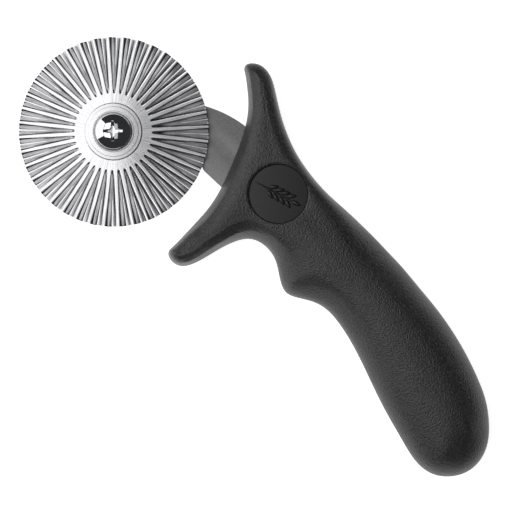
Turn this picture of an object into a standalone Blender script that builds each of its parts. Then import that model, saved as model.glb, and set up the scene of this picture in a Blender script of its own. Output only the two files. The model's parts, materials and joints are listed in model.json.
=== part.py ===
"""Pastry cutter wheel: a fluted steel wheel on a flat arm, with a moulded finger-guard handle.

The tool lies flat on its side. +X runs from the wheel to the butt of the handle, +Z is the
wheel's axle, and the handle is symmetric about the horizontal mid-plane. Everything is drawn in
millimetres from the point where the axle crosses that mid-plane, and AXLE places that point.
"""

import math

import bmesh
import bpy
from mathutils import Matrix, Vector

MM = 0.001
COLLECTION = "pastry_cutter_wheel"

# Placement: the model's origin is the bottom centre of its bounding box.
AXLE = (-66.7, -9.2, 12.5)

# Fits
GAP = 0.3  # left between pieces that touch
RUNNING = 0.3  # radial clearance of the turning pieces

# Handle: half depth of the guard, of the neck and of the palm, which the tool rests on, and
# where along the handle each change starts and how far it runs
GUARD_DEPTH = 12.4
NECK_DEPTH = 11.9
PALM_DEPTH = 12.43
NECK_START = 58.0
NECK_RUN = 20.0
PALM_START = 88.0
PALM_RUN = 34.0

# Outline of the handle at its mid-plane. The guard's stations run from the upper tip to the
# lower tip, each with a point on the front edge and, on the wings, one on the rear edge.
UPPER_TIP = [(25.2, 49.7), (20.1, 49.7), (17.0, 46.5)]
UPPER_FRONT = [(18.9, 44.2), (22.3, 41.5), (25.8, 38.3), (29.1, 34.3), (31.9, 29.5)]
UPPER_REAR = [(29.4, 47.5), (33.2, 44.9), (37.9, 41.9), (43.4, 39.0), (50.0, 36.4)]
MIDDLE_FRONT = [(34.3, 24.0), (37.0, 16.8), (39.3, 9.6), (40.5, 2.8), (40.7, -3.2)]
LOWER_FRONT = [(40.7, -7.2), (40.7, -10.9), (40.6, -14.2)]
LOWER_REAR = [(53.6, -1.7), (51.9, -6.9), (50.3, -12.2)]
LOWER_TIP = [(40.8, -17.1), (43.8, -18.5), (47.7, -17.0)]

# The grip's rows run from the guard to the butt, each with a point on the back and the belly.
BACK = [(57.9, 34.6), (66.0, 33.8), (74.0, 33.9), (81.5, 33.9), (88.5, 33.7), (95.0, 33.3),
        (102.0, 32.8), (110.0, 31.8), (119.0, 30.6), (128.0, 28.8), (137.0, 26.2), (145.5, 22.9),
        (153.2, 18.9)]
BELLY = [(57.0, 4.2), (62.6, 6.6), (68.8, 5.5), (74.2, 2.0), (79.2, 0.0), (84.6, 2.3),
         (91.0, 4.9), (99.3, 4.5), (109.0, 1.8), (119.0, -2.0), (129.5, -6.0), (140.0, -9.3),
         (149.8, -11.8)]
BUTT = [(159.7, 13.4), (163.7, 7.7), (165.1, 1.4), (163.3, -5.0), (157.8, -10.4)]

# Half sections as (inset from the outline, share of the half depth), from the mid-plane to the
# shoulder. The guard has steep drafted walls and a tight fillet, the grip is a full oval.
GUARD_SECTION = [(0.0, 0.0), (0.7, 0.5), (1.8, 0.84), (4.4, 0.99)]
STEEP_SECTION = [(0.0, 0.0), (0.3, 0.5), (1.3, 0.85), (4.2, 0.99)]
FRONT_SECTION = [(0.0, 0.0), (1.0, 0.5), (2.4, 0.82), (5.4, 0.985)]
GRIP_SECTION = [(0.0, 0.0), (1.1, 0.37), (4.2, 0.70), (8.8, 0.91)]
BELLY_FIRST_SHARE = 0.35  # share of the grip's section where the belly begins
BELLY_BLEND = (57.0, 20.0)  # start and run of the change to the grip's section on the belly
BACK_BLEND = (60.0, 30.0)  # the same on the back
GRIP_INNER = 0.98  # share of the half depth between the shoulder and the middle of the grip
GUARD_MIDDLE = 0.42  # place of the guard's middle line between its front and the grip
FULL_WIDTH = 14.0  # a wing narrower than this has its insets scaled down
EVENING_START = 60.0  # behind this the spacing of the inner points is evened out
EVENING_ROUNDS = 3
SURFACE_LEVELS = 1

# Badge discs, one in each face of the guard
BADGE_CENTRE = (54.6, 22.2)
BADGE_RADIUS = 9.8
BADGE_TOP = 11.7
BADGE_THICKNESS = 1.1
POCKET_CLEARANCE = 3.0  # how far the pockets' cutters reach out of the handle

# Arm and tang, a flat plate centred on the mid-plane
ARM_THICKNESS = 2.5
ARM_BOTTOM = 11.1
ARM_TOP = 31.4
ARM_CORNER = 3.0
OUTER_ARC = ((34.7, -8.3), 40.0)
INNER_ARC = ((21.3, -0.3), 14.5)
AXLE_END_RADIUS = 9.5
ARM_FILLET = 4.0
ARM_ARC_START = 96.0  # degrees at which the outer arc leaves the tang
TANG_CORNER = 5.0
TANG_TOP = 28.0
TANG_STEP = (43.0, 52.0)
TANG_END = 103.0
TANG_HOLES = [(60.0, 19.5), (76.0, 19.5), (92.0, 19.5)]
TANG_HOLE_RADIUS = 3.5
SLOT_LEAD = 20.0  # how far the slot's cutter starts in front of the outer arc's centre

# Wheel
WHEEL_RADIUS = 31.75
WHEEL_BORE = 5.6
WHEEL_LEVEL = 4.55  # height of the sheet's middle above the handle's mid-plane
SHEET = 0.5
FLUTES = 40
FLUTE_START = 12.8
FLUTE_RINGS = (14.2, 16.5, 21.0)  # radii between the flutes' start and the rim
FLUTE_GROWTH = 4.0  # distance over which the flutes gain most of their height
FLUTE_DEPTH = 1.7
FLUTE_TURN = 1.2  # degrees by which the grooves are turned at rest
GROOVE_SHARES = (0.5, 0.95)  # share of each flute that is groove, at its start and at the rim
CONE_START = 9.0  # outside this radius the disc slopes back very slightly
CONE_SLOPE = 0.04

# Axle stack. The heights of the flange, washer and screw head are counted from the sheet.
FLANGE_THICKNESS = 1.0
WASHER_BOTTOM = 1.6
WASHER_THICKNESS = 0.7
HEAD_BOTTOM = 2.6
HEAD_EDGE = 0.7
HEAD_CROWN = 2.6
STACK_FOOT = 1.4  # height of the bush and the collar above the arm
BUSH_BORE = 3.9
BUSH_SLEEVE = 5.3
BUSH_FLANGE = 9.65
FLANGE_FALL = 0.2  # how far the flange slopes down outside the washer
FLANGE_CHAMFER = (0.4, 0.3)
COLLAR_RADIUS = 8.6
REAR_WASHER_RADIUS = 8.0
REAR_WASHER_TOP = 1.1
NUT_BARREL = 3.6
NUT_HEAD = 7.0
NUT_HEAD_EDGE = 0.7
NUT_HEAD_CROWN = 1.5
NUT_NECK = 4.6
NUT_FLATS = 3.7
SCREW_SHANK = 2.5
SCREW_HEAD = 6.0
WASHER_RADIUS = 6.9
RECESS_SPAN = 7.1
RECESS_FLOOR_SPAN = 3.0
RECESS_WIDTH = 1.9
RECESS_DEPTH = 2.4
RECESS_ANGLE = math.radians(43.0)
ROUND_STEPS = 48


# ---------------------------------------------------------------- materials and scene helpers

def material(name, colour, roughness, metallic=0.0):
    mat = bpy.data.materials.new(name)
    mat.use_nodes = True
    shader = mat.node_tree.nodes["Principled BSDF"]
    shader.inputs["Base Color"].default_value = (*colour, 1.0)
    shader.inputs["Roughness"].default_value = roughness
    shader.inputs["Metallic"].default_value = metallic
    mat.diffuse_color = (*colour, 1.0)
    return mat


def clear_scene():
    for obj in list(bpy.data.objects):
        bpy.data.objects.remove(obj, do_unlink=True)


def add_object(name, data, mat=None, cutter=False):
    """Put a mesh or curve, drawn around the axle, into the scene at the axle."""
    obj = bpy.data.objects.new(name, data)
    obj.location = Vector(AXLE) * MM
    if cutter:
        obj.hide_render = True
        obj.display_type = "WIRE"
        bpy.data.collections["cutters"].objects.link(obj)
    else:
        bpy.data.collections[COLLECTION].objects.link(obj)
    if mat is not None:
        data.materials.append(mat)
    return obj


def boolean(obj, other, operation="DIFFERENCE"):
    mod = obj.modifiers.new(operation.title(), "BOOLEAN")
    mod.operation = operation
    mod.object = other
    return mod


# ---------------------------------------------------------------- shape helpers

def arc(centre, radius, start, end, count):
    """Points along an arc, with both ends, for angles in degrees."""
    points = []
    for i in range(count + 1):
        angle = math.radians(start + (end - start) * i / count)
        points.append((centre[0] + radius * math.cos(angle), centre[1] + radius * math.sin(angle)))
    return points


def circle(centre, radius, count=ROUND_STEPS):
    return arc(centre, radius, 0.0, 360.0, count)[:-1]


def angle_to(centre, point):
    return math.degrees(math.atan2(point[1] - centre[1], point[0] - centre[0]))


def turned(name, profile, mat, steps=ROUND_STEPS, cutter=False):
    """A solid of revolution about the axle from a closed (radius, height) profile."""
    bm = bmesh.new()
    verts = [bm.verts.new((r * MM, 0.0, z * MM)) for r, z in profile]
    for a, b in zip(verts, verts[1:]):
        bm.edges.new((a, b))
    if profile[0][0] > 0.0:
        bm.edges.new((verts[-1], verts[0]))
    mesh = bpy.data.meshes.new(name)
    bm.to_mesh(mesh)
    bm.free()
    obj = add_object(name, mesh, mat, cutter)
    screw = obj.modifiers.new("Turn", "SCREW")
    screw.steps = steps
    screw.render_steps = steps
    screw.use_merge_vertices = True
    screw.merge_threshold = 1e-6
    screw.use_smooth_shade = True
    return obj


def plate(name, outlines, bottom, top, mat=None, cutter=False):
    """A flat plate from closed outlines; the first is its edge and the others are holes."""
    curve = bpy.data.curves.new(name, "CURVE")
    curve.dimensions = "2D"
    curve.fill_mode = "BOTH"
    curve.extrude = (top - bottom) / 2 * MM
    for outline in outlines:
        spline = curve.splines.new("POLY")
        spline.points.add(len(outline) - 1)
        for point, (x, y) in zip(spline.points, outline):
            point.co = (x * MM, y * MM, 0.0, 1.0)
        spline.use_cyclic_u = True
    holder = bpy.data.objects.new(name, curve)
    bpy.context.scene.collection.objects.link(holder)
    evaluated = holder.evaluated_get(bpy.context.evaluated_depsgraph_get())
    mesh = bpy.data.meshes.new_from_object(evaluated)
    bpy.data.objects.remove(holder, do_unlink=True)
    bm = bmesh.new()
    bm.from_mesh(mesh)
    bmesh.ops.remove_doubles(bm, verts=bm.verts, dist=1e-6)
    bmesh.ops.translate(bm, verts=bm.verts, vec=(0.0, 0.0, (top + bottom) / 2 * MM))
    bm.to_mesh(mesh)
    bm.free()
    mesh.name = name
    return add_object(name, mesh, mat, cutter)


# ---------------------------------------------------------------- handle

def ease(value):
    value = min(max(value, 0.0), 1.0)
    return value * value * (3.0 - 2.0 * value)


def change(x, start, run):
    """Share of a change that starts at a place along the handle and runs on from it."""
    return ease((x - start) / run)


def blend(first, second, share):
    return [(a[0] + (b[0] - a[0]) * share, a[1] + (b[1] - a[1]) * share)
            for a, b in zip(first, second)]


def belly_share(x):
    return BELLY_FIRST_SHARE + (1.0 - BELLY_FIRST_SHARE) * change(x, *BELLY_BLEND)


def handle_outline():
    """The closed outline, with the section that the edge has at each of its points."""
    points = [(p, GUARD_SECTION) for p in UPPER_FRONT]
    points += [(p, FRONT_SECTION) for p in MIDDLE_FRONT]
    points += [(p, GUARD_SECTION) for p in LOWER_FRONT + LOWER_TIP]
    points += [(p, GUARD_SECTION) for p in reversed(LOWER_REAR)]
    points += [(p, blend(GUARD_SECTION, GRIP_SECTION, belly_share(p[0]))) for p in BELLY]
    points += [(p, GRIP_SECTION) for p in reversed(BUTT)]
    points += [(p, blend(STEEP_SECTION, GRIP_SECTION, change(p[0], *BACK_BLEND)))
               for p in reversed(BACK)]
    points += [(p, STEEP_SECTION) for p in reversed(UPPER_REAR)]
    points += [(p, STEEP_SECTION) for p in UPPER_TIP]
    return [Vector(p) for p, _ in points], [section for _, section in points]


def half_depth(x):
    """Half depth of the handle along its length: full at the guard and palm, slimmer between."""
    palm = change(x, PALM_START, PALM_RUN)
    neck = change(x, NECK_START, NECK_RUN) * (1.0 - palm)
    base = GUARD_DEPTH + (NECK_DEPTH - GUARD_DEPTH) * neck
    return base + (PALM_DEPTH - GUARD_DEPTH) * palm


def wing_width(point):
    """Width of the wing at an outline point, and the full width away from the wings."""
    for front, rear in ((UPPER_FRONT, UPPER_REAR), (LOWER_FRONT, LOWER_REAR)):
        for a, b in zip(front, rear):
            if point in (Vector(a), Vector(b)):
                return (Vector(a) - Vector(b)).length
    if point in [Vector(p) for p in UPPER_TIP]:
        return (Vector(UPPER_FRONT[0]) - Vector(UPPER_REAR[0])).length
    if point in [Vector(p) for p in LOWER_TIP]:
        return (Vector(LOWER_FRONT[-1]) - Vector(LOWER_REAR[-1])).length
    return FULL_WIDTH


def handle_cage():
    """Upper half of the handle as quads, open at the mid-plane: rings inset from the outline,
    then a grid across the guard and along the grip that meet in a T."""
    bm = bmesh.new()
    outline, sections = handle_outline()
    count = len(outline)
    rings = [[] for _ in GUARD_SECTION]
    for i, (point, section) in enumerate(zip(outline, sections)):
        along = (outline[(i + 1) % count] - outline[i - 1]).normalized()
        inward = Vector((-along.y, along.x))
        scale = min(1.0, wing_width(point) / FULL_WIDTH)
        for ring, (inset, rise) in zip(rings, section):
            spot = point + inward * inset * scale
            ring.append(bm.verts.new((spot.x, spot.y, rise * half_depth(spot.x))))
    for outer, inner in zip(rings, rings[1:]):
        for i in range(count):
            bm.faces.new((outer[i - 1], outer[i], inner[i], inner[i - 1]))

    shoulder = {tuple(point): vert for point, vert in zip(outline, rings[-1])}

    def at(point):
        return shoulder[tuple(Vector(point))]

    def between(a, b, share, rise):
        spot = a.co.lerp(b.co, share)
        return bm.verts.new((spot.x, spot.y, rise * half_depth(spot.x)))

    def stitch(row, next_row):
        for j in range(len(row) - 1):
            bm.faces.new((row[j], row[j + 1], next_row[j + 1], next_row[j]))

    # The grip: rows of five from the back to the belly, closed by the butt.
    rows = []
    for back, belly in zip(BACK, BELLY):
        a, b = at(back), at(belly)
        rows.append([a, between(a, b, 0.25, GRIP_INNER), between(a, b, 0.5, 1.0),
                     between(a, b, 0.75, GRIP_INNER), b])
    rows.append([at(point) for point in BUTT])
    for row, next_row in zip(rows, rows[1:]):
        stitch(next_row, row)

    # The guard: a middle line from tip to tip. The grip's first row lies behind its middle.
    upper = [[at(f), None, at(r)] for f, r in zip(UPPER_FRONT, UPPER_REAR)]
    lower = [[at(f), None, at(r)] for f, r in zip(LOWER_FRONT, LOWER_REAR)]
    for line in upper + lower:
        line[1] = between(line[0], line[2], 0.5, 1.0)
    middle = [[at(f), between(at(f), g, GUARD_MIDDLE, 1.0), g]
              for f, g in zip(MIDDLE_FRONT, rows[0])]
    tips = [[at(p) for p in reversed(UPPER_TIP)], [at(p) for p in LOWER_TIP]]
    lines = [tips[0]] + upper + middle + lower + [tips[1]]
    for line, next_line in zip(lines, lines[1:]):
        stitch(line, next_line)
    edges = set(rings[0] + rings[1] + rings[2])
    inner = [vert for vert in bm.verts if vert not in edges and vert.co.x > EVENING_START]
    for _ in range(EVENING_ROUNDS):
        bmesh.ops.smooth_vert(bm, verts=inner, factor=0.5, use_axis_x=True, use_axis_y=True)
    bmesh.ops.recalc_face_normals(bm, faces=bm.faces)
    bmesh.ops.scale(bm, verts=bm.verts, vec=(MM, MM, MM))
    mesh = bpy.data.meshes.new("handle")
    bm.to_mesh(mesh)
    bm.free()
    return mesh


def fit_surface(obj, rounds=8):
    """Shift the cage until its smooth surface passes through the places it was drawn at."""
    wanted = [v.co.copy() for v in obj.data.vertices]
    for _ in range(rounds):
        surface = obj.evaluated_get(bpy.context.evaluated_depsgraph_get()).data
        offsets = [goal - surface.vertices[i].co for i, goal in enumerate(wanted)]
        for vertex, offset in zip(obj.data.vertices, offsets):
            vertex.co += offset
        obj.data.update()
        bpy.context.view_layer.update()


def handle(mat):
    obj = add_object("handle", handle_cage(), mat)
    mirror = obj.modifiers.new("Halves", "MIRROR")
    mirror.use_axis = (False, False, True)
    mirror.merge_threshold = 1e-5
    surface = obj.modifiers.new("Surface", "SUBSURF")
    surface.levels = SURFACE_LEVELS
    surface.render_levels = SURFACE_LEVELS
    fit_surface(obj)
    obj.data.shade_smooth()
    half = ARM_THICKNESS / 2 + GAP
    boolean(obj, plate("slot_cutter", [slot_outline()], -half, half, cutter=True))
    for side, name in ((1, "front"), (-1, "rear")):
        floor = BADGE_TOP - BADGE_THICKNESS - GAP
        levels = sorted((side * floor, side * (BADGE_TOP + POCKET_CLEARANCE)))
        pocket = circle(BADGE_CENTRE, BADGE_RADIUS + GAP)
        boolean(obj, plate(f"{name}_badge_cutter", [pocket], *levels, cutter=True))
    return obj


def badge(name, side, mat):
    levels = sorted((side * BADGE_TOP, side * (BADGE_TOP - BADGE_THICKNESS)))
    return plate(name, [circle(BADGE_CENTRE, BADGE_RADIUS)], *levels, mat)


# ---------------------------------------------------------------- arm

def slot_outline():
    """The tang's room in the handle, open through the guard's front edge."""
    low = ARM_BOTTOM - GAP
    tail = TANG_TOP + GAP
    end = TANG_END + GAP
    start = OUTER_ARC[0][0] - SLOT_LEAD
    return [(start, low), (end, low), (end, tail), (TANG_STEP[1] + GAP, tail),
            (TANG_STEP[0] + GAP, ARM_TOP + GAP), (start, ARM_TOP + GAP)]


def meeting(centre_a, radius_a, centre_b, radius_b, side):
    """One of the two points where two circles meet, to the left (+1) or right (-1) of a to b."""
    a, b = Vector(centre_a), Vector(centre_b)
    gap = (b - a).length
    along = (gap ** 2 + radius_a ** 2 - radius_b ** 2) / (2 * gap)
    across = math.sqrt(radius_a ** 2 - along ** 2)
    unit = (b - a) / gap
    return a + unit * along + Vector((-unit.y, unit.x)) * across * side


def arm_outline():
    """From the tang, along the outer arc, round the axle end and back along the inner arc."""
    origin = (0.0, 0.0)
    outer_centre, outer = OUTER_ARC
    inner_centre, inner = INNER_ARC
    reach = AXLE_END_RADIUS + ARM_FILLET
    top = meeting(origin, reach, outer_centre, outer + ARM_FILLET, 1)
    top_start = angle_to(top, outer_centre)
    top_end = angle_to(top, origin)
    low = meeting(origin, reach, inner_centre, inner - ARM_FILLET, 1)
    corner_y = ARM_BOTTOM + ARM_CORNER
    drop = corner_y - inner_centre[1]
    corner = (inner_centre[0] + math.sqrt((inner + ARM_CORNER) ** 2 - drop ** 2), corner_y)

    points = arc(outer_centre, outer, ARM_ARC_START, angle_to(outer_centre, top), 18)
    points += arc(top, ARM_FILLET, top_start, top_end, 5)[1:]
    end_start = angle_to(origin, top)
    end_stop = angle_to(origin, low) + 360.0
    points += arc(origin, AXLE_END_RADIUS, end_start, end_stop, 28)[1:]
    low_start = angle_to(low, origin) % 360.0
    low_end = angle_to(inner_centre, low)
    points += arc(low, ARM_FILLET, low_start, low_end, 4)[1:]
    points += arc(inner_centre, inner, low_end % 360.0, angle_to(inner_centre, corner), 14)[1:]
    points += arc(corner, ARM_CORNER, angle_to(corner, inner_centre) + 360.0, 270.0, 6)[1:]
    tail = TANG_CORNER
    points += arc((TANG_END - tail, ARM_BOTTOM + tail), tail, -90.0, 0.0, 6)
    points += arc((TANG_END - tail, TANG_TOP - tail), tail, 0.0, 90.0, 6)
    points += [(TANG_STEP[1], TANG_TOP), (TANG_STEP[0], ARM_TOP)]
    return points


def flatted_circle(radius, flats):
    """A circle with two flats, one on each side of its X axis."""
    corner = math.degrees(math.asin(flats / radius))
    right = arc((0.0, 0.0), radius, -corner, corner, 12)
    left = arc((0.0, 0.0), radius, 180.0 - corner, 180.0 + corner, 12)
    return right + left


def arm(mat):
    outlines = [arm_outline(), flatted_circle(NUT_NECK + GAP, NUT_FLATS + GAP)]
    outlines += [circle(centre, TANG_HOLE_RADIUS, 24) for centre in TANG_HOLES]
    return plate("arm", outlines, -ARM_THICKNESS / 2, ARM_THICKNESS / 2, mat)


# ---------------------------------------------------------------- wheel

def groove_depth(radius, turn):
    """Depth of the pressed grooves, in turns round the disc. It is nothing on the lands."""
    outside = max(radius - FLUTE_START, 0.0)
    reach = outside / (WHEEL_RADIUS - FLUTE_START)
    share = GROOVE_SHARES[0] + (GROOVE_SHARES[1] - GROOVE_SHARES[0]) * reach
    across = abs((turn * FLUTES) % 1.0 - 0.5) / (share / 2)
    shape = math.cos(min(across, 1.0) * math.pi / 2) ** 2
    return FLUTE_DEPTH * (1.0 - math.exp(-outside / FLUTE_GROWTH)) * shape


def fluted_wheel(mat):
    """A slightly coned sheet disc whose flutes grow from its flat middle towards the rim."""
    radii = [WHEEL_BORE, CONE_START, FLUTE_START, *FLUTE_RINGS, WHEEL_RADIUS]
    bm = bmesh.new()
    spoke = [bm.verts.new((r * MM, 0.0, 0.0)) for r in radii]
    edges = [bm.edges.new(pair) for pair in zip(spoke, spoke[1:])]
    bmesh.ops.spin(bm, geom=spoke + edges, cent=(0.0, 0.0, 0.0), axis=(0.0, 0.0, 1.0),
                   angle=math.tau, steps=4 * FLUTES, use_merge=True)
    for vert in bm.verts:
        radius = vert.co.to_2d().length / MM
        turn = math.atan2(vert.co.y, vert.co.x) / math.tau
        cone = CONE_SLOPE * max(radius - CONE_START, 0.0)
        vert.co.z = (WHEEL_LEVEL - cone - groove_depth(radius, turn)) * MM
    bmesh.ops.rotate(bm, verts=bm.verts, cent=(0.0, 0.0, 0.0),
                     matrix=Matrix.Rotation(math.radians(FLUTE_TURN), 3, "Z"))
    bmesh.ops.recalc_face_normals(bm, faces=bm.faces)
    mesh = bpy.data.meshes.new("fluted_wheel")
    bm.to_mesh(mesh)
    bm.free()
    obj = add_object("fluted_wheel", mesh, mat)
    thickness = obj.modifiers.new("Sheet", "SOLIDIFY")
    thickness.thickness = SHEET * MM
    thickness.offset = 0.0
    return obj


def hub_bush(mat):
    """Flange in front of the sheet with a sleeve down through it."""
    flange_bottom = WHEEL_LEVEL + SHEET / 2 + GAP
    flange_top = flange_bottom + FLANGE_THICKNESS
    foot = ARM_THICKNESS / 2 + STACK_FOOT
    chamfer_width, chamfer_height = FLANGE_CHAMFER
    edge_top = flange_top - FLANGE_FALL
    profile = [(BUSH_BORE, flange_top), (WASHER_RADIUS, flange_top),
               (BUSH_FLANGE - chamfer_width, edge_top),
               (BUSH_FLANGE, edge_top - chamfer_height), (BUSH_FLANGE, flange_bottom),
               (BUSH_SLEEVE, flange_bottom), (BUSH_SLEEVE, foot), (BUSH_BORE, foot)]
    return turned("hub_bush", profile, mat)


def hub_collar(mat):
    """Ring behind the sheet, around the foot of the sleeve."""
    top = WHEEL_LEVEL - SHEET / 2 - GAP
    bottom = ARM_THICKNESS / 2 + STACK_FOOT
    return washer("hub_collar", BUSH_SLEEVE + GAP, COLLAR_RADIUS, bottom, top, mat)


def washer(name, inner, outer, bottom, top, mat):
    return turned(name, [(inner, top), (outer, top), (outer, bottom), (inner, bottom)], mat)


# ---------------------------------------------------------------- axle

def barrel_nut(mat):
    """Low head behind the arm, a flatted neck in its hole and a round barrel for the bush."""
    head_top = -ARM_THICKNESS / 2 - GAP
    barrel_top = WHEEL_LEVEL + SHEET / 2 + FLANGE_THICKNESS
    edge = head_top - NUT_HEAD_EDGE
    bore = SCREW_SHANK + GAP
    dome = [(NUT_HEAD * math.cos(math.radians(a)), edge - NUT_HEAD_CROWN * math.sin(math.radians(a)))
            for a in range(0, 91, 15)]
    dome[-1] = (0.0, dome[-1][1])
    profile = [(0.0, head_top), (bore, head_top), (bore, barrel_top), (NUT_BARREL, barrel_top),
               (NUT_BARREL, head_top), (NUT_HEAD, head_top)] + dome
    obj = turned("barrel_nut", profile, mat)
    inside = (bore + NUT_BARREL) / 2
    neck_outline = [flatted_circle(NUT_NECK, NUT_FLATS), circle((0.0, 0.0), inside, 24)]
    bottom = head_top - NUT_HEAD_EDGE / 2
    neck = plate("neck_joiner", neck_outline, bottom, ARM_THICKNESS / 2, cutter=True)
    boolean(obj, neck, "UNION")
    return obj


def axle_screw(mat):
    """Domed head with a cross recess, and a plain shank down the nut's bore."""
    under = WHEEL_LEVEL + SHEET / 2 + HEAD_BOTTOM
    rim = under + HEAD_EDGE
    dome = [(SCREW_HEAD * math.sin(math.radians(a)), rim + HEAD_CROWN * math.cos(math.radians(a)))
            for a in range(0, 91, 10)]
    tip = GAP - ARM_THICKNESS / 2
    profile = dome + [(SCREW_HEAD, under), (SCREW_SHANK, under), (SCREW_SHANK, tip), (0.0, tip)]
    obj = turned("axle_screw", profile, mat)
    for i in range(2):
        cutter = recess_cutter(f"recess_cutter_{i}", rim + HEAD_CROWN - RECESS_DEPTH)
        cutter.rotation_euler.z = RECESS_ANGLE + i * math.pi / 2
        boolean(obj, cutter)
    return obj


def recess_cutter(name, floor):
    """One bar of the cross, tapering from its full span at the crown to its floor."""
    bm = bmesh.new()
    bmesh.ops.create_cube(bm, size=1.0)
    for vert in bm.verts:
        span = 2 * RECESS_SPAN - RECESS_FLOOR_SPAN if vert.co.z > 0.0 else RECESS_FLOOR_SPAN
        vert.co.x *= span * MM
        vert.co.y *= RECESS_WIDTH * MM
        vert.co.z = (floor + (vert.co.z + 0.5) * 2 * RECESS_DEPTH) * MM
    mesh = bpy.data.meshes.new(name)
    bm.to_mesh(mesh)
    bm.free()
    return add_object(name, mesh, cutter=True)


# ---------------------------------------------------------------- assembly

def build():
    clear_scene()
    for name in (COLLECTION, "cutters"):
        bpy.context.scene.collection.children.link(bpy.data.collections.new(name))
    plastic = material("handle_plastic", (0.030, 0.030, 0.032), 0.55)
    disc = material("badge_plastic", (0.020, 0.020, 0.022), 0.35)
    plate_steel = material("arm_steel", (0.36, 0.36, 0.37), 0.45, 1.0)
    sheet_steel = material("wheel_steel", (0.62, 0.62, 0.63), 0.18, 1.0)
    hub_steel = material("hub_steel", (0.60, 0.60, 0.61), 0.35, 1.0)
    chrome = material("screw_chrome", (0.75, 0.75, 0.76), 0.08, 1.0)

    handle(plastic)
    badge("front_badge", 1, disc)
    badge("rear_badge", -1, disc.copy())
    arm(plate_steel)
    fluted_wheel(sheet_steel)
    hub_bush(hub_steel)
    hub_collar(hub_steel.copy())
    surface = ARM_THICKNESS / 2
    washer("rear_washer", NUT_BARREL + RUNNING, REAR_WASHER_RADIUS, surface + GAP,
           surface + REAR_WASHER_TOP, hub_steel.copy())
    head = WHEEL_LEVEL + SHEET / 2 + WASHER_BOTTOM
    washer("head_washer", SCREW_SHANK + GAP, WASHER_RADIUS, head, head + WASHER_THICKNESS,
           hub_steel.copy())
    barrel_nut(hub_steel.copy())
    axle_screw(chrome)


build()
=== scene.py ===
"""Looks for the pastry cutter wheel: fine surfaces, materials, floor, light and camera."""

import json
import math

import bmesh
import bpy
from mathutils import Matrix, Vector


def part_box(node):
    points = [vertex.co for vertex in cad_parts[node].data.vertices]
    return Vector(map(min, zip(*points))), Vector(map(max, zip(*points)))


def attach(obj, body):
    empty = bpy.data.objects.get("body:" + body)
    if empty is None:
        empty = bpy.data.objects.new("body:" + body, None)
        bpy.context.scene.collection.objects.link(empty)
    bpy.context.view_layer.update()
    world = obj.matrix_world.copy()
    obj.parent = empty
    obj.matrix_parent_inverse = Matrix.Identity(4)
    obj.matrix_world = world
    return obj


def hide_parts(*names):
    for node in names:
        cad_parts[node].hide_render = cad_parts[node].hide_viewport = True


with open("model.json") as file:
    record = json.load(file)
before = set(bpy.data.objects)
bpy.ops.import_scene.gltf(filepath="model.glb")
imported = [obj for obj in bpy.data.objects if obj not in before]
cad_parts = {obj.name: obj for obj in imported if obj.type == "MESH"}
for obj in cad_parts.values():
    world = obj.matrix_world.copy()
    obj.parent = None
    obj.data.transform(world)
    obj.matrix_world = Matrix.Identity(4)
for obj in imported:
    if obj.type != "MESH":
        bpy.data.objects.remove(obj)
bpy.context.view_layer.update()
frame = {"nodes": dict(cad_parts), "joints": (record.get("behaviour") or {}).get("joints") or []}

MM = 0.001

# The point where the axle crosses the handle's mid-plane, which is also the arm's. The shapes
# below are drawn in millimetres from it.
ARM_LOW, ARM_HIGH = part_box("arm")
SPIN = Vector(frame["joints"][0]["pos_m"])
AXLE = Vector((SPIN.x, SPIN.y, (ARM_LOW.z + ARM_HIGH.z) / 2))


def span(node):
    """Lowest and highest corner of a CAD node in millimetres from that point."""
    low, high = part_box(node)
    return (low - AXLE) / MM, (high - AXLE) / MM


# ---------------------------------------------------------------- dimensions

# The handle's outline, sections and depths are the CAD's. Half depth of the guard, of the neck
# and of the palm, and where along the handle each change starts and how far it runs:
GUARD_DEPTH = 12.4
NECK_DEPTH = 11.9
PALM_DEPTH = 12.43
NECK_START = 58.0
NECK_RUN = 20.0
PALM_START = 88.0
PALM_RUN = 34.0

# The guard's stations run from the upper tip to the lower tip, with points on the front edge
# and, on the wings, on the rear edge.
UPPER_TIP = [(25.2, 49.7), (20.1, 49.7), (17.0, 46.5)]
UPPER_FRONT = [(18.9, 44.2), (22.3, 41.5), (25.8, 38.3), (29.1, 34.3), (31.9, 29.5)]
UPPER_REAR = [(29.4, 47.5), (33.2, 44.9), (37.9, 41.9), (43.4, 39.0), (50.0, 36.4)]
MIDDLE_FRONT = [(34.3, 24.0), (37.0, 16.8), (39.3, 9.6), (40.5, 2.8), (40.7, -3.2)]
LOWER_FRONT = [(40.7, -7.2), (40.7, -10.9), (40.6, -14.2)]
LOWER_REAR = [(53.6, -1.7), (51.9, -6.9), (50.3, -12.2)]
LOWER_TIP = [(40.8, -17.1), (43.8, -18.5), (47.7, -17.0)]

# The grip's rows run from the guard to the butt, each with a point on the back and the belly.
BACK = [(57.9, 34.6), (66.0, 33.8), (74.0, 33.9), (81.5, 33.9), (88.5, 33.7), (95.0, 33.3),
        (102.0, 32.8), (110.0, 31.8), (119.0, 30.6), (128.0, 28.8), (137.0, 26.2), (145.5, 22.9),
        (153.2, 18.9)]
BELLY = [(57.0, 4.2), (62.6, 6.6), (68.8, 5.5), (74.2, 2.0), (79.2, 0.0), (84.6, 2.3),
         (91.0, 4.9), (99.3, 4.5), (109.0, 1.8), (119.0, -2.0), (129.5, -6.0), (140.0, -9.3),
         (149.8, -11.8)]
BUTT = [(159.7, 13.4), (163.7, 7.7), (165.1, 1.4), (163.3, -5.0), (157.8, -10.4)]

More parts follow.
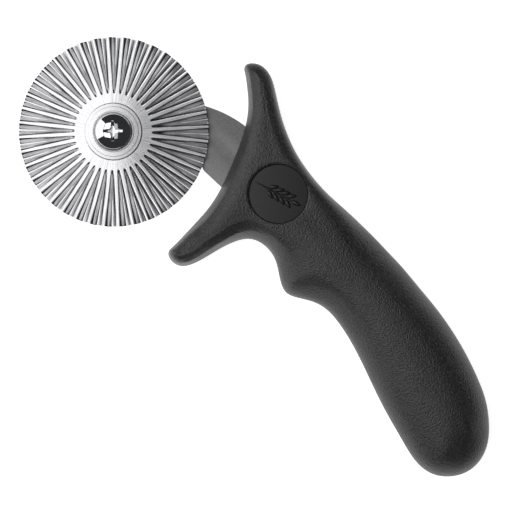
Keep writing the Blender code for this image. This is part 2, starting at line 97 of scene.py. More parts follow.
# Half sections as (inset from the outline, share of the half depth), from the mid-plane up
GUARD_SECTION = [(0.0, 0.0), (0.7, 0.5), (1.8, 0.84), (4.4, 0.99)]
STEEP_SECTION = [(0.0, 0.0), (0.3, 0.5), (1.3, 0.85), (4.2, 0.99)]
FRONT_SECTION = [(0.0, 0.0), (1.0, 0.5), (2.4, 0.82), (5.4, 0.985)]
GRIP_SECTION = [(0.0, 0.0), (1.1, 0.37), (4.2, 0.70), (8.8, 0.91)]
BELLY_FIRST_SHARE = 0.35  # share of the grip's section where the belly begins
BELLY_BLEND = (57.0, 20.0)  # start and run of the change to the grip's section on the belly
BACK_BLEND = (60.0, 30.0)  # the same on the back
GRIP_INNER = 0.98  # share of the half depth between the shoulder and the middle of the grip
GUARD_MIDDLE = 0.42  # place of the guard's middle line between its front and the grip
FULL_WIDTH = 14.0  # a wing narrower than this has its insets scaled down
EVENING_START = 60.0  # behind this the spacing of the inner points is evened out
EVENING_ROUNDS = 3
FITTING_ROUNDS = 8
HANDLE_LEVELS = 3
RIDGE_CREASE = 0.6  # how sharp the guard's front and rear edge lines are

# Arm, and the slot in the handle that leaves room around its tang
FIT = 0.3  # also the room under the badge discs
ARM_EDGE = 0.25
ARM_BOTTOM = 11.1
ARM_TOP = 31.4
TANG_TOP = 28.0
TANG_STEP = (43.0, 52.0)
SLOT_FRONT = 14.7  # in front of the handle

# Badge discs and their pockets, which flare out above the disc
BADGES = (("front_badge", 1), ("rear_badge", -1))
BADGE_EDGE = 0.25
POCKET_GAP = 0.06  # around the disc
POCKET_STEPS = 144
FLARE_START = 0.25  # above the disc, as is FLARE_TOP
FLARE_WIDTH = 1.2
FLARE_TOP = 1.1

# Ear of wheat, drawn along +X. GRAIN_SIZE is half a grain's length and half its width; the tip
# grain and the stem are (x, y, lean, half length, half width).
RELIEF = 0.5  # how high the ear stands off the disc
EAR_PAIRS = 4
EAR_START = -1.6
EAR_STEP = 2.0
GRAIN_OFFSET = 1.35
GRAIN_LEAN = math.radians(32.0)
GRAIN_SIZE = (1.45, 0.62)
GRAIN_TAPER = 0.35
TIP_GRAIN = (6.6, 0.0, 0.0, 1.5, 0.62)
STEM = (-1.0, 0.0, 0.0, 6.3, 0.24)
EAR_TURN = math.radians(15.0)
EAR_SCALE = 1.1
EAR_SHIFT = -0.5

# Wheel
FLUTES = 40
FLUTE_START = 12.8
FLUTE_GROWTH = 4.0  # distance over which the flutes gain most of their height
FLUTE_DEPTH = 1.7
FLUTE_TURN = math.radians(1.2)  # by which the grooves are turned at rest
FLUTE_ROWS = 30
ROW_CROWDING = 1.5  # above 1 the rows of points are closer together near the flutes' start
STEPS_PER_FLUTE = 16
GROOVE_SHARES = (0.5, 0.95)  # share of each flute that is groove, at its start and at the rim
FLAT_RADII = [5.6, 9.0, 11.0, 12.5]  # rings of points on the flat middle, from the bore
CONE_START = 9.0  # outside this radius the disc slopes back very slightly
CONE_SLOPE = 0.04
SHEET = 0.5  # thickness

# Hub. The points of the flange's crown are (radius, fall) and those of its edge are
# (inset, fall), with each fall counted from the top.
BUSH_BORE = 3.9
BUSH_SLEEVE = 5.3
FLANGE_THICKNESS = 1.0
FLANGE_CROWN = [(6.9, 0.0), (8.3, 0.1), (8.4, 0.17)]
FLANGE_EDGE = [(0.3, 0.23), (0.0, 0.4), (0.0, FLANGE_THICKNESS)]
FLANGE_ROUNDING = 0.15
COLLAR_BORE = 5.6
COLLAR_ROUNDING = 0.2
REAR_WASHER_ROUNDING = 0.15
WASHER_BORE = 2.8
WASHER_ROUNDING = 0.08
DISH_RADIUS = 5.6
DISH_DEPTH = 0.4
DISH_LIP = (0.15, 0.1)  # width and fall of the lip around the dish

# Screw. The recess is a star at two levels, counted from the top of the head: (radius of the
# tips, half width of the tips, radius between the tips, level).
SCREW_CROWN = 2.6
SCREW_EDGE = 0.7
SCREW_SHANK = 2.5
SCREW_ROUNDING = 0.25
SCREW_BEVEL = 0.12
SCREW_STEPS = 96
DOME_RINGS = 24
RECESS = ((4.4, 0.42, 1.25, 0.4), (1.7, 0.3, 0.8, -2.3))

ROUND_STEPS = 128  # around everything else that is round
CORNER_STEPS = 4  # along each rounded corner of a profile
CORNER_SHARE = 0.45  # most of a profile's side that one rounded corner takes up


# ---------------------------------------------------------------- mesh helpers

def add_object(name, data):
    obj = bpy.data.objects.new(name, data)
    bpy.context.scene.collection.objects.link(obj)
    return obj


def new_piece(name, mesh, material, body, *replaced, slot, sharp=32.0):
    """Finish a mesh drawn around AXLE, and give it its body and the nodes it replaces. Edges
    that turn more than the sharp angle, in degrees, stay sharp."""
    mesh.shade_smooth()
    mesh.set_sharp_from_angle(angle=math.radians(sharp))
    mesh.materials.append(material)
    piece = add_object(name, mesh)
    mesh.transform(Matrix.Translation(AXLE) @ Matrix.Scale(MM, 4))
    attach(piece, body)
    if replaced:
        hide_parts(*replaced)


def take_mesh(bm, name):
    mesh = bpy.data.meshes.new(name)
    bm.to_mesh(mesh)
    bm.free()
    return mesh


def evaluated(obj):
    bpy.context.view_layer.update()
    return obj.evaluated_get(bpy.context.evaluated_depsgraph_get())


def collapse(obj):
    """The object's mesh with its modifiers applied; the object itself is removed."""
    mesh = bpy.data.meshes.new_from_object(evaluated(obj))
    bpy.data.objects.remove(obj, do_unlink=True)
    return mesh


def cut(obj, cutter):
    mod = obj.modifiers.new("Difference", "BOOLEAN")
    mod.operation = "DIFFERENCE"
    mod.object = cutter


def bevel(obj, width, segments, angle):
    mod = obj.modifiers.new("Edges", "BEVEL")
    mod.width = width
    mod.segments = segments
    mod.limit_method = "ANGLE"
    mod.angle_limit = math.radians(angle)


def rounded(profile, radius, closed=True):
    """The profile with each corner replaced by a small arc-like curve."""
    points = []
    last = len(profile) - 1
    for i, corner in enumerate(profile):
        here = Vector(corner)
        if not closed and i in (0, last):
            points.append(here)
            continue
        before = Vector(profile[i - 1])
        after = Vector(profile[(i + 1) % len(profile)])
        reach = min(radius, (before - here).length * CORNER_SHARE,
                    (after - here).length * CORNER_SHARE)
        a = here + (before - here).normalized() * reach
        b = here + (after - here).normalized() * reach
        for j in range(CORNER_STEPS + 1):
            t = j / CORNER_STEPS
            points.append(a * (1 - t) ** 2 + here * 2 * t * (1 - t) + b * t ** 2)
    return points


def turned_mesh(name, profile, steps=ROUND_STEPS, closed=True):
    """A solid of revolution about Z from (radius, height) points."""
    bm = bmesh.new()
    verts = [bm.verts.new((p[0], 0.0, p[1])) for p in profile]
    edges = [bm.edges.new(pair) for pair in zip(verts, verts[1:])]
    if closed:
        edges.append(bm.edges.new((verts[-1], verts[0])))
    bmesh.ops.spin(bm, geom=verts + edges, cent=(0, 0, 0), axis=(0, 0, 1), angle=math.tau,
                   steps=steps, use_merge=True)
    bmesh.ops.remove_doubles(bm, verts=bm.verts, dist=1e-5)
    bmesh.ops.recalc_face_normals(bm, faces=bm.faces)
    return take_mesh(bm, name)


def change(x, start, run):
    """Share of a smooth change that starts at one place and runs for a distance."""
    value = min(max((x - start) / run, 0.0), 1.0)
    return value * value * (3.0 - 2.0 * value)


# ---------------------------------------------------------------- materials

# Noise stays near its middle, so only this part of it is spread over a material's levels.
NOISE_RANGE = (0.3, 0.7)
BLUE_CAST = 1.02  # blue against red and green in every grey


def node_material(name, metallic, roughness):
    mat = bpy.data.materials.new(name)
    mat.use_nodes = True
    shader = mat.node_tree.nodes["Principled BSDF"]
    shader.inputs["Metallic"].default_value = metallic
    shader.inputs["Roughness"].default_value = roughness
    return mat, mat.node_tree, shader


def link(tree, source, target):
    tree.links.new(source, target)


def object_noise(tree, scale, detail=2.0, roughness=0.5, vector=None):
    noise = tree.nodes.new("ShaderNodeTexNoise")
    noise.inputs["Scale"].default_value = scale
    noise.inputs["Detail"].default_value = detail
    noise.inputs["Roughness"].default_value = roughness
    if vector is None:
        vector = tree.nodes.new("ShaderNodeTexCoord").outputs["Object"]
    link(tree, vector, noise.inputs["Vector"])
    return noise.outputs["Fac"]


def ramp(tree, factor, levels):
    """A neutral colour that moves between two grey levels with the noise."""
    node = tree.nodes.new("ShaderNodeValToRGB")
    for element, position, level in zip(node.color_ramp.elements, NOISE_RANGE, levels):
        element.position = position
        element.color = (level, level, level * BLUE_CAST, 1.0)
    link(tree, factor, node.inputs["Fac"])
    return node.outputs["Color"]


def value_range(tree, factor, limits):
    """A value that moves between two limits with the noise."""
    node = tree.nodes.new("ShaderNodeMapRange")
    node.inputs["From Min"].default_value, node.inputs["From Max"].default_value = NOISE_RANGE
    node.inputs["To Min"].default_value, node.inputs["To Max"].default_value = limits
    link(tree, factor, node.inputs["Value"])
    return node.outputs["Result"]


def bump(tree, height, distance, strength):
    node = tree.nodes.new("ShaderNodeBump")
    node.inputs["Distance"].default_value = distance
    node.inputs["Strength"].default_value = strength
    link(tree, height, node.inputs["Height"])
    return node.outputs["Normal"]


def grained_plastic():
    """Black moulded plastic with a fine spark-eroded grain."""
    mat, tree, shader = node_material("handle_grained_plastic", 0.0, 0.5)
    grain = object_noise(tree, scale=1900.0, detail=1.5)
    patches = object_noise(tree, scale=90.0, detail=3.0)
    shader.inputs["Specular IOR Level"].default_value = 0.62
    link(tree, ramp(tree, grain, (0.002, 0.018)), shader.inputs["Base Color"])
    link(tree, value_range(tree, patches, (0.40, 0.48)), shader.inputs["Roughness"])
    link(tree, bump(tree, grain, distance=0.00036, strength=0.9), shader.inputs["Normal"])
    return mat


def smooth_plastic():
    """Black satin plastic of the badge discs."""
    mat, tree, shader = node_material("badge_satin_plastic", 0.0, 0.36)
    haze = object_noise(tree, scale=600.0, detail=3.0)
    shader.inputs["Specular IOR Level"].default_value = 0.34
    link(tree, ramp(tree, haze, (0.005, 0.009)), shader.inputs["Base Color"])
    link(tree, value_range(tree, haze, (0.36, 0.46)), shader.inputs["Roughness"])
    return mat


def matte_steel():
    """Tumbled grey steel plate of the arm."""
    mat, tree, shader = node_material("arm_tumbled_steel", 1.0, 0.5)
    grain = object_noise(tree, scale=1700.0, detail=3.0, roughness=0.6)
    clouds = object_noise(tree, scale=60.0, detail=3.0)
    mix = tree.nodes.new("ShaderNodeMix")
    mix.data_type = "RGBA"
    link(tree, clouds, mix.inputs["Factor"])
    link(tree, ramp(tree, grain, (0.135, 0.225)), mix.inputs["A"])
    link(tree, ramp(tree, grain, (0.155, 0.245)), mix.inputs["B"])
    link(tree, mix.outputs["Result"], shader.inputs["Base Color"])
    link(tree, value_range(tree, grain, (0.50, 0.62)), shader.inputs["Roughness"])
    link(tree, bump(tree, grain, distance=0.00006, strength=0.4), shader.inputs["Normal"])
    return mat


def around_axle(tree):
    """Object coordinates measured from the axle, as (turn, radius) outputs."""
    coords = tree.nodes.new("ShaderNodeTexCoord").outputs["Object"]
    shift = tree.nodes.new("ShaderNodeVectorMath")
    shift.operation = "SUBTRACT"
    shift.inputs[1].default_value = (AXLE.x, AXLE.y, 0.0)
    link(tree, coords, shift.inputs[0])
    flat = tree.nodes.new("ShaderNodeVectorMath")
    flat.operation = "MULTIPLY"
    flat.inputs[1].default_value = (1.0, 1.0, 0.0)
    link(tree, shift.outputs["Vector"], flat.inputs[0])
    turn = tree.nodes.new("ShaderNodeTexGradient")
    turn.gradient_type = "RADIAL"
    link(tree, flat.outputs["Vector"], turn.inputs["Vector"])
    radius = tree.nodes.new("ShaderNodeVectorMath")
    radius.operation = "LENGTH"
    link(tree, flat.outputs["Vector"], radius.inputs[0])
    return turn.outputs["Fac"], radius.outputs["Value"]


def polar_noise(tree, turn_scale, radius_scale):
    """Noise drawn out along the radius or around the axle, by the two scales."""
    turn, radius = around_axle(tree)
    vector = tree.nodes.new("ShaderNodeCombineXYZ")
    for source, factor, axis in ((turn, turn_scale, "X"), (radius, radius_scale, "Y")):
        times = tree.nodes.new("ShaderNodeMath")
        times.operation = "MULTIPLY"
        times.inputs[1].default_value = factor
        link(tree, source, times.inputs[0])
        link(tree, times.outputs["Value"], vector.inputs[axis])
    return object_noise(tree, 1.0, 2.0, 0.6, vector.outputs["Vector"])


def pressed_steel():
    """Bright stainless sheet with faint drawing lines along the flutes."""
    mat, tree, shader = node_material("wheel_pressed_steel", 1.0, 0.2)
    lines = polar_noise(tree, turn_scale=900.0, radius_scale=120.0)
    link(tree, ramp(tree, lines, (0.30, 0.64)), shader.inputs["Base Color"])
    link(tree, value_range(tree, lines, (0.08, 0.16)), shader.inputs["Roughness"])
    link(tree, bump(tree, lines, distance=0.00002, strength=0.25), shader.inputs["Normal"])
    return mat


def satin_steel():
    """Turned hub pieces with fine rings and a light grain."""
    mat, tree, shader = node_material("hub_satin_steel", 1.0, 0.3)
    rings = polar_noise(tree, turn_scale=6.0, radius_scale=9000.0)
    grain = object_noise(tree, scale=3000.0)
    link(tree, ramp(tree, grain, (0.44, 0.57)), shader.inputs["Base Color"])
    link(tree, value_range(tree, grain, (0.24, 0.36)), shader.inputs["Roughness"])
    link(tree, bump(tree, rings, distance=0.00001, strength=0.3), shader.inputs["Normal"])
    return mat


def bright_chrome():
    """Plated screw head with the faintest haze."""
    mat, tree, shader = node_material("screw_bright_chrome", 1.0, 0.05)
    haze = object_noise(tree, scale=500.0)
    link(tree, ramp(tree, haze, (0.60, 0.68)), shader.inputs["Base Color"])
    link(tree, value_range(tree, haze, (0.03, 0.08)), shader.inputs["Roughness"])
    return mat


# ---------------------------------------------------------------- handle

def blend(first, second, share):
    return [(a[0] + (b[0] - a[0]) * share, a[1] + (b[1] - a[1]) * share)
            for a, b in zip(first, second)]


def belly_share(x):
    return BELLY_FIRST_SHARE + (1.0 - BELLY_FIRST_SHARE) * change(x, *BELLY_BLEND)


def handle_outline():
    """The closed outline, with the section that the edge has at each of its points."""
    points = [(p, GUARD_SECTION) for p in UPPER_FRONT]
    points += [(p, FRONT_SECTION) for p in MIDDLE_FRONT]
    points += [(p, GUARD_SECTION) for p in LOWER_FRONT + LOWER_TIP]
    points += [(p, GUARD_SECTION) for p in reversed(LOWER_REAR)]
    points += [(p, blend(GUARD_SECTION, GRIP_SECTION, belly_share(p[0]))) for p in BELLY]
    points += [(p, GRIP_SECTION) for p in reversed(BUTT)]
    points += [(p, blend(STEEP_SECTION, GRIP_SECTION, change(p[0], *BACK_BLEND)))
               for p in reversed(BACK)]
    points += [(p, STEEP_SECTION) for p in reversed(UPPER_REAR)]
    points += [(p, STEEP_SECTION) for p in UPPER_TIP]
    return [Vector(p) for p, _ in points], [section for _, section in points]


def half_depth(x):
    palm = change(x, PALM_START, PALM_RUN)
    neck = change(x, NECK_START, NECK_RUN) * (1.0 - palm)
    return GUARD_DEPTH + (NECK_DEPTH - GUARD_DEPTH) * neck + (PALM_DEPTH - GUARD_DEPTH) * palm


def wing_width(point):
    """Width of the wing at an outline point, and the full width away from the wings."""
    for front, rear in ((UPPER_FRONT, UPPER_REAR), (LOWER_FRONT, LOWER_REAR)):
        for a, b in zip(front, rear):
            if point in (Vector(a), Vector(b)):
                return (Vector(a) - Vector(b)).length
    if point in [Vector(p) for p in UPPER_TIP]:
        return (Vector(UPPER_FRONT[0]) - Vector(UPPER_REAR[0])).length
    if point in [Vector(p) for p in LOWER_TIP]:
        return (Vector(LOWER_FRONT[-1]) - Vector(LOWER_REAR[-1])).length
    return FULL_WIDTH


def handle_cage():
    """Upper half of the handle as quads, open at the mid-plane: rings inset from the outline,
    then a grid across the guard and along the grip that meet in a T."""
    bm = bmesh.new()
    outline, sections = handle_outline()
    count = len(outline)
    rings = [[] for _ in GUARD_SECTION]
    for i, (point, section) in enumerate(zip(outline, sections)):
        along = (outline[(i + 1) % count] - outline[i - 1]).normalized()
        inward = Vector((-along.y, along.x))
        scale = min(1.0, wing_width(point) / FULL_WIDTH)
        for ring, (inset, rise) in zip(rings, section):
            spot = point + inward * inset * scale
            ring.append(bm.verts.new((spot.x, spot.y, rise * half_depth(spot.x))))
    for outer, inner in zip(rings, rings[1:]):
        for i in range(count):
            bm.faces.new((outer[i - 1], outer[i], inner[i], inner[i - 1]))

    shoulder = {tuple(point): vert for point, vert in zip(outline, rings[-1])}

    def at(point):
        return shoulder[tuple(Vector(point))]

    def between(a, b, share, rise):
        spot = a.co.lerp(b.co, share)
        return bm.verts.new((spot.x, spot.y, rise * half_depth(spot.x)))

    def stitch(row, next_row):
        for j in range(len(row) - 1):
            bm.faces.new((row[j], row[j + 1], next_row[j + 1], next_row[j]))

    rows = []
    for back, belly in zip(BACK, BELLY):
        a, b = at(back), at(belly)
        rows.append([a, between(a, b, 0.25, GRIP_INNER), between(a, b, 0.5, 1.0),
                     between(a, b, 0.75, GRIP_INNER), b])
    rows.append([at(point) for point in BUTT])
    for row, next_row in zip(rows, rows[1:]):
        stitch(next_row, row)

    upper = [[at(f), None, at(r)] for f, r in zip(UPPER_FRONT, UPPER_REAR)]
    lower = [[at(f), None, at(r)] for f, r in zip(LOWER_FRONT, LOWER_REAR)]
    for line in upper + lower:
        line[1] = between(line[0], line[2], 0.5, 1.0)
    middle = [[at(f), between(at(f), g, GUARD_MIDDLE, 1.0), g]
              for f, g in zip(MIDDLE_FRONT, rows[0])]
    tips = [[at(p) for p in reversed(UPPER_TIP)], [at(p) for p in LOWER_TIP]]
    lines = [tips[0]] + upper + middle + lower + [tips[1]]
    for line, next_line in zip(lines, lines[1:]):
        stitch(line, next_line)
    edges = set(rings[0] + rings[1] + rings[2])
    inner = [vert for vert in bm.verts if vert not in edges and vert.co.x > EVENING_START]
    for _ in range(EVENING_ROUNDS):
        bmesh.ops.smooth_vert(bm, verts=inner, factor=0.5, use_axis_x=True, use_axis_y=True)
    crease = bm.edges.layers.float.new("crease_edge")
    front = rings[2][:len(UPPER_FRONT + MIDDLE_FRONT)]
    before = len(UPPER_FRONT + MIDDLE_FRONT + LOWER_FRONT + LOWER_TIP)
    rear = rings[2][before - 1:before + len(LOWER_REAR) + 2]
    for ridge in (front, rear):
        for a, b in zip(ridge, ridge[1:]):
            bm.edges.get((a, b))[crease] = RIDGE_CREASE
    bmesh.ops.recalc_face_normals(bm, faces=bm.faces)
    return take_mesh(bm, "handle_cage")


def fit_surface(obj):
    """Shift the cage until its smooth surface passes through the places it was drawn at."""
    wanted = [v.co.copy() for v in obj.data.vertices]
    for _ in range(FITTING_ROUNDS):
        surface = evaluated(obj).data
        offsets = [goal - surface.vertices[i].co for i, goal in enumerate(wanted)]
        for vertex, offset in zip(obj.data.vertices, offsets):
            vertex.co += offset
        obj.data.update()


def prism(name, points, bottom, top):
    """A scratch solid between two heights over an outline."""
    bm = bmesh.new()
    base = bm.faces.new([bm.verts.new((x, y, bottom)) for x, y in points])
    lifted = bmesh.ops.extrude_face_region(bm, geom=[base])
    verts = [g for g in lifted["geom"] if isinstance(g, bmesh.types.BMVert)]
    bmesh.ops.translate(bm, verts=verts, vec=(0, 0, top - bottom))
    bmesh.ops.recalc_face_normals(bm, faces=bm.faces)
    return add_object(name, take_mesh(bm, name))


def badge_place(node):
    """Centre, radius and half thickness of a badge disc."""
    low, high = span(node)
    centre = (low + high) / 2
    return centre, (high.x - low.x) / 2, (high.z - low.z) / 2


def slot_cutter():
    """The opening where the arm enters the guard, as deep as the tang reaches."""
    low, high = span("arm")
    half = (high.z - low.z) / 2 + FIT
    bottom, top, step = ARM_BOTTOM - FIT, ARM_TOP + FIT, TANG_TOP + FIT
    end = high.x + FIT
    outline = [(SLOT_FRONT, bottom), (end, bottom), (end, step), (TANG_STEP[1] + FIT, step),
               (TANG_STEP[0] + FIT, top), (SLOT_FRONT, top)]
    return prism("slot_cutter", outline, -half, half)


def pocket_cutter(node, side):
    """The recess for a badge disc, flared where it opens."""
    centre, radius, half = badge_place(node)
    wall = radius + POCKET_GAP
    profile = [(0.0, -half - FIT), (wall, -half - FIT), (wall, half + FLARE_START),
               (wall + FLARE_WIDTH, half + FLARE_TOP), (0.0, half + FLARE_TOP)]
    pocket = turned_mesh(node + "_cutter", profile, POCKET_STEPS, closed=False)
    turn = Matrix.Rotation(0.0 if side > 0 else math.pi, 4, "X")
    pocket.transform(Matrix.Translation(centre) @ turn)
    return add_object(node + "_cutter", pocket)


def make_handle(material):
    obj = add_object("handle_cage", handle_cage())
    mirror = obj.modifiers.new("Halves", "MIRROR")
    mirror.use_axis = (False, False, True)
    mirror.merge_threshold = 1e-5
    surface = obj.modifiers.new("Surface", "SUBSURF")
    surface.levels = 1
    fit_surface(obj)
    surface.levels = HANDLE_LEVELS
    surface.render_levels = HANDLE_LEVELS
    cutters = [slot_cutter()] + [pocket_cutter(node, side) for node, side in BADGES]
    for cutter in cutters:
        cut(obj, cutter)
    mesh = collapse(obj)
    for cutter in cutters:
        bpy.data.objects.remove(cutter, do_unlink=True)
    new_piece("grip_moulding", mesh, material, "tool", "handle", slot="handle_plastic", sharp=40.0)


# ---------------------------------------------------------------- badges

def make_badge(node, material):
    centre, radius, half = badge_place(node)
    profile = rounded([(0.0, half), (radius, half), (radius, -half), (0.0, -half)],
                      BADGE_EDGE, closed=False)
    disc = turned_mesh(node + "_disc", profile, closed=False)
    disc.transform(Matrix.Translation(centre))
    new_piece(node + "_disc", disc, material, "tool", node, slot="badge_plastic")


def wheat_ear(node, side, material):
    """A small raised ear of wheat, the disc's generic ornament."""
    centre, _, half = badge_place(node)
    bm = bmesh.new()

    def grain(x, y, lean, length, width):
        made = bmesh.ops.create_uvsphere(bm, u_segments=20, v_segments=12, radius=1.0)["verts"]
        for vert in made:
            taper = 1.0 - GRAIN_TAPER * vert.co.x
            vert.co = Vector((vert.co.x * length, vert.co.y * width * taper, vert.co.z * RELIEF))
        bmesh.ops.rotate(bm, verts=made, cent=(0, 0, 0), matrix=Matrix.Rotation(lean, 3, "Z"))
        bmesh.ops.translate(bm, verts=made, vec=(x, y, 0.0))

    for i in range(EAR_PAIRS):
        for hand in (1, -1):
            grain(EAR_START + i * EAR_STEP, hand * GRAIN_OFFSET, hand * GRAIN_LEAN, *GRAIN_SIZE)
    grain(*TIP_GRAIN)
    grain(*STEM)
    turn = Matrix.Rotation(EAR_TURN, 4, "Z")
    enlarge = Matrix.Scale(EAR_SCALE, 4)
    shift = Matrix.Translation((EAR_SHIFT, 0.0, 0.0))
    lift = Matrix.Translation(centre + Vector((0, 0, side * half)))
    bm.transform(lift @ (turn @ enlarge @ shift))
    name = node + "_relief"
    new_piece(name, take_mesh(bm, name), material, "tool", slot="badge_plastic", sharp=60.0)


# ---------------------------------------------------------------- arm

def make_arm(material):
    """The CAD plate with its long edges eased."""
    mesh = frame["nodes"]["arm"].data.copy()
    mesh.materials.clear()
    mesh.transform(Matrix.Scale(1 / MM, 4) @ Matrix.Translation(-AXLE))
    bm = bmesh.new()
    bm.from_mesh(mesh)
    bmesh.ops.remove_doubles(bm, verts=bm.verts, dist=1e-4)
    bmesh.ops.dissolve_limit(bm, angle_limit=math.radians(1.0), verts=bm.verts, edges=bm.edges)
    bm.to_mesh(mesh)
    bm.free()
    obj = add_object("arm_blank", mesh)
    bevel(obj, ARM_EDGE, segments=3, angle=60.0)
    new_piece("arm_plate", collapse(obj), material, "tool", "arm", slot="arm_steel", sharp=30.0)


# ---------------------------------------------------------------- wheel and hub

def groove_depth(radius, turn, rim):
    """Depth of the pressed grooves at a radius and a place in turns. On the lands it is 0."""
    outside = max(radius - FLUTE_START, 0.0)
    share = GROOVE_SHARES[0] + (GROOVE_SHARES[1] - GROOVE_SHARES[0]) * outside / (rim - FLUTE_START)
    across = abs((turn * FLUTES) % 1.0 - 0.5) / (share / 2)
    shape = math.cos(min(across, 1.0) * math.pi / 2) ** 2
    return FLUTE_DEPTH * (1.0 - math.exp(-outside / FLUTE_GROWTH)) * shape


def make_disc(material):
    """Pressed sheet with rounded grooves that deepen quickly outside the flat middle."""
    _, high = span("fluted_wheel")
    rim = high.x
    radii = FLAT_RADII + [FLUTE_START + (rim - FLUTE_START) * (i / FLUTE_ROWS) ** ROW_CROWDING
                          for i in range(FLUTE_ROWS + 1)]
    bm = bmesh.new()
    spoke = [bm.verts.new((r, 0.0, 0.0)) for r in radii]
    edges = [bm.edges.new(pair) for pair in zip(spoke, spoke[1:])]
    bmesh.ops.spin(bm, geom=spoke + edges, cent=(0, 0, 0), axis=(0, 0, 1), angle=math.tau,
                   steps=STEPS_PER_FLUTE * FLUTES, use_merge=True)
    for vert in bm.verts:
        radius = vert.co.to_2d().length
        turn = math.atan2(vert.co.y, vert.co.x) / math.tau
        cone = CONE_SLOPE * max(radius - CONE_START, 0.0)
        vert.co.z = high.z - cone - groove_depth(radius, turn, rim)
    bmesh.ops.rotate(bm, verts=bm.verts, cent=(0, 0, 0),
                     matrix=Matrix.Rotation(FLUTE_TURN, 3, "Z"))
    under = bmesh.ops.extrude_face_region(bm, geom=bm.faces[:])
    verts = [g for g in under["geom"] if isinstance(g, bmesh.types.BMVert)]
    bmesh.ops.translate(bm, verts=verts, vec=(0, 0, -SHEET))
    bmesh.ops.recalc_face_normals(bm, faces=bm.faces)
    new_piece("crimping_disc", take_mesh(bm, "crimping_disc"), material, "wheel", "fluted_wheel",
              slot="wheel_steel", sharp=50.0)


def make_ring(name, node, bore, rounding, material, body):
    """A washer-like ring in a CAD node's place, with eased edges."""
    low, high = span(node)
    outer = (high.x - low.x) / 2
    profile = rounded([(bore, high.z), (outer, high.z), (outer, low.z), (bore, low.z)], rounding)
    new_piece(name, turned_mesh(name, profile), material, body, node, slot="hub_steel")


def make_dished_washer(material):
    """The washer under the screw head, whose face rises towards its edge."""
    low, high = span("head_washer")
    outer = (high.x - low.x) / 2
    dish = high.z - DISH_DEPTH
    profile = rounded([(WASHER_BORE, dish), (DISH_RADIUS, dish), (outer - DISH_LIP[0], high.z),
                       (outer, high.z - DISH_LIP[1]), (outer, low.z), (WASHER_BORE, low.z)],
                      WASHER_ROUNDING)
    new_piece("head_washer_ring", turned_mesh("head_washer_ring", profile), material, "tool",
              "head_washer", slot="hub_steel")


def make_hub(material):
    """Flange with a soft crown and the sleeve that passes through the sheet."""
    low, high = span("hub_bush")
    outer, top = high.x, high.z
    profile = [(BUSH_BORE, top)] + [(radius, top - fall) for radius, fall in FLANGE_CROWN]
    profile += [(outer - inset, top - fall) for inset, fall in FLANGE_EDGE]
    profile += [(BUSH_SLEEVE, top - FLANGE_THICKNESS), (BUSH_SLEEVE, low.z), (BUSH_BORE, low.z)]
    mesh = turned_mesh("hub_flange", rounded(profile, FLANGE_ROUNDING))
    new_piece("hub_flange", mesh, material, "wheel", "hub_bush", slot="hub_steel")


# ---------------------------------------------------------------- screw

def star(tip, half_width, inner, height):
    """Outline of a cross with drawn-in sides, as points at one height."""
    points = []
    for quarter in range(4):
        turn = Matrix.Rotation(VIEW_TURN + quarter * math.pi / 2, 3, "Z")
        corner = inner * math.sqrt(0.5)
        for x, y in ((tip, -half_width), (tip, half_width), (corner, corner)):
            points.append(turn @ Vector((x, y, height)))
    return points


def recess_cutter(top):
    """The cross recess: a star that narrows towards its floor."""
    bm = bmesh.new()
    rings = []
    for tip, half_width, inner, level in RECESS:
        rings.append([bm.verts.new(p) for p in star(tip, half_width, inner, top + level)])
    upper, lower = rings
    bm.faces.new(upper)
    bm.faces.new(lower)
    for i in range(len(upper)):
        bm.faces.new((upper[i - 1], upper[i], lower[i], lower[i - 1]))
    bmesh.ops.recalc_face_normals(bm, faces=bm.faces)
    return add_object("recess_cutter", take_mesh(bm, "recess_cutter"))


def make_screw(material):
    low, high = span("axle_screw")
    head = (high.x - low.x) / 2
    top = high.z
    rim = top - SCREW_CROWN
    under = rim - SCREW_EDGE
    ball = (head ** 2 + SCREW_CROWN ** 2) / (2 * SCREW_CROWN)
    dome = []
    for i in range(DOME_RINGS + 1):
        radius = head * i / DOME_RINGS
        dome.append((radius, top - ball + math.sqrt(ball ** 2 - radius ** 2)))
    foot = rounded([dome[-2], (head, rim), (head, under), (SCREW_SHANK, under),
                    (SCREW_SHANK, low.z), (0.0, low.z)], SCREW_ROUNDING, closed=False)
    obj = add_object("screw_blank", turned_mesh("screw_blank", dome[:-2] + foot, SCREW_STEPS,
                                                closed=False))
    cutter = recess_cutter(top)
    cut(obj, cutter)
    bevel(obj, SCREW_BEVEL, segments=2, angle=35.0)
    mesh = collapse(obj)
    bpy.data.objects.remove(cutter, do_unlink=True)
    new_piece("screw_dome", mesh, material, "tool", "axle_screw", slot="screw_chrome", sharp=30.0)


def carry_over(material, node):
    """A CAD node whose shape is already right gets its finished material."""
    mesh = frame["nodes"][node].data
    mesh.materials.clear()
    mesh.materials.append(material)


# ---------------------------------------------------------------- studio

# The camera looks straight down, and the picture is turned against the tool. Lengths here are in
# metres, but for the lens and the sensor. Sides are those of the picture, counted from the point
# the camera looks at.
VIEW_TURN = math.radians(43.0)
AIM = AXLE + Vector((64.1, 2.05, 0.0)) * MM
VIEW_WIDTH = 0.1734
LENS = 180.0
SENSOR = 36.0

# Panels overhead: name, left, right, low and high side, radiance
OVERHEAD_PANELS = [
    ("key_panel", -0.95, -0.07, -0.50, 0.90, 2.15),
    ("soft_edge_panel", -0.07, 0.32, -0.60, 0.75, 0.72),
]
OVERHEAD_HEIGHT = 0.95
# Upright panel at the left: name, distance, low and high side, height, radiance
UPRIGHT_PANEL = ("left_panel", -0.96, -0.35, 0.95, 0.85, 1.7)
UPRIGHT_FOOT = 0.02

WORLD_COLOUR = (0.95, 0.97, 1.0, 1.0)
WORLD_STRENGTH = 0.042
FLOOR_COLOUR = (0.60, 0.60, 0.60, 1.0)
FLOOR_GLOW = 0.88
FLOOR_HALF = 3.0


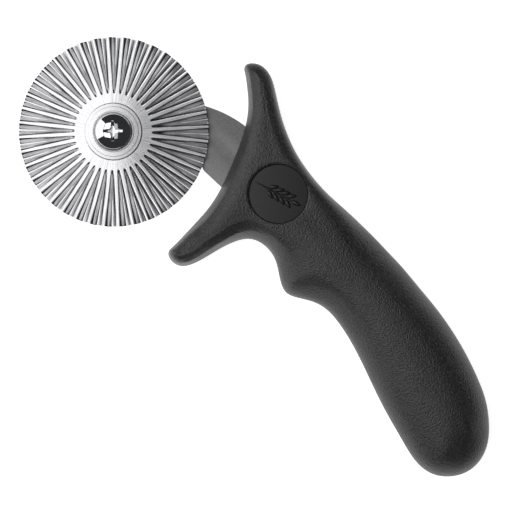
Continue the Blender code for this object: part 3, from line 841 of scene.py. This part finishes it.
def in_view(right, up, height):
    """A point given along the picture's sides from the aim, at a height."""
    c, s = math.cos(VIEW_TURN), math.sin(VIEW_TURN)
    return Vector((AIM.x + right * c - up * s, AIM.y + right * s + up * c, height))


def make_camera():
    data = bpy.data.cameras.new("camera")
    data.lens = LENS
    data.sensor_width = SENSOR
    data.clip_end = 20.0
    camera = add_object("camera", data)
    camera.location = AIM + Vector((0.0, 0.0, VIEW_WIDTH * LENS / SENSOR))
    camera.rotation_euler = (0.0, 0.0, VIEW_TURN)
    bpy.context.scene.camera = camera


def panel(name, place, turn, size, radiance):
    data = bpy.data.lights.new(name, "AREA")
    data.shape = "RECTANGLE"
    data.size, data.size_y = size
    data.energy = radiance * math.pi * size[0] * size[1]
    light = add_object(name, data)
    light.location = place
    light.rotation_euler = turn


def make_lights():
    world = bpy.data.worlds.new("studio")
    world.use_nodes = True
    bpy.context.scene.world = world
    background = world.node_tree.nodes["Background"]
    background.inputs["Color"].default_value = WORLD_COLOUR
    background.inputs["Strength"].default_value = WORLD_STRENGTH
    bpy.context.scene.view_settings.view_transform = "Standard"

    for name, left, right, low, high, radiance in OVERHEAD_PANELS:
        place = in_view((left + right) / 2, (low + high) / 2, OVERHEAD_HEIGHT)
        panel(name, place, (0.0, 0.0, VIEW_TURN), (right - left, high - low), radiance)
    name, across, low, high, height, radiance = UPRIGHT_PANEL
    place = in_view(across, (low + high) / 2, UPRIGHT_FOOT + height / 2)
    upright = (math.pi / 2, 0.0, VIEW_TURN - math.pi / 2)
    panel(name, place, upright, (high - low, height), radiance)


def make_floor():
    bm = bmesh.new()
    bmesh.ops.create_grid(bm, x_segments=2, y_segments=2, size=FLOOR_HALF)
    floor = add_object("floor", take_mesh(bm, "floor"))
    mat, _, shader = node_material("pale_floor", 0.0, 0.7)
    shader.inputs["Base Color"].default_value = FLOOR_COLOUR
    shader.inputs["Emission Color"].default_value = (1.0, 1.0, 1.0, 1.0)
    shader.inputs["Emission Strength"].default_value = FLOOR_GLOW
    floor.data.materials.append(mat)


# ---------------------------------------------------------------- build

satin_plastic = smooth_plastic()
hub_steel = satin_steel()

make_handle(grained_plastic())
for badge, facing in BADGES:
    make_badge(badge, satin_plastic)
    wheat_ear(badge, facing, satin_plastic)
make_arm(matte_steel())
make_disc(pressed_steel())
make_hub(hub_steel)
make_ring("hub_collar_ring", "hub_collar", COLLAR_BORE, COLLAR_ROUNDING, hub_steel, "wheel")
make_ring("rear_washer_ring", "rear_washer", BUSH_BORE, REAR_WASHER_ROUNDING, hub_steel, "tool")
make_dished_washer(hub_steel)
make_screw(bright_chrome())
carry_over(hub_steel, "barrel_nut")
make_camera()
make_lights()
make_floor()
